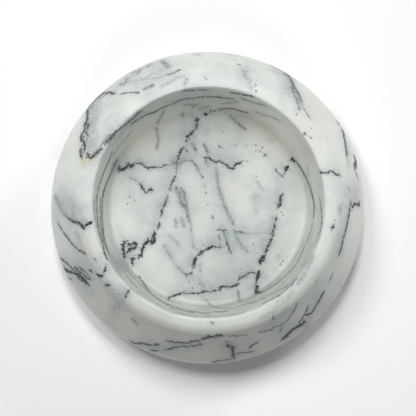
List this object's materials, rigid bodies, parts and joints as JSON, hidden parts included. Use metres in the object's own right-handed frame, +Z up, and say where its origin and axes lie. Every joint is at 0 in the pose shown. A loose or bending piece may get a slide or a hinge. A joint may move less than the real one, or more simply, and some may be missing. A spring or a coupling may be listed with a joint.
{
  "type": "bowl",
  "caption": "Low round stone bowl with a thick rim, a flank that spreads to a wide rounded base, a flat inner floor, and felt pads underneath.",
  "frame": {"origin": "centre of the footprint, on the surface the felt pads rest on", "axes": "+Z up along the bowl's turning axis; +Y is away from the viewer of the picture, +X to the viewer's right"},
  "size_m": [0.25, 0.25, 0.0603],
  "materials": {
    "marble": "honed and waxed, satin; pale greenish white with dark, jagged grey veins",
    "felt": "pressed grey felt, matt"
  },
  "bodies": {
    "root": {"stone_bowl": "marble", "felt_pad_front_left": "felt", "felt_pad_front_right": "felt", "felt_pad_back_right": "felt", "felt_pad_back_left": "felt"}
  },
  "joints": []
}
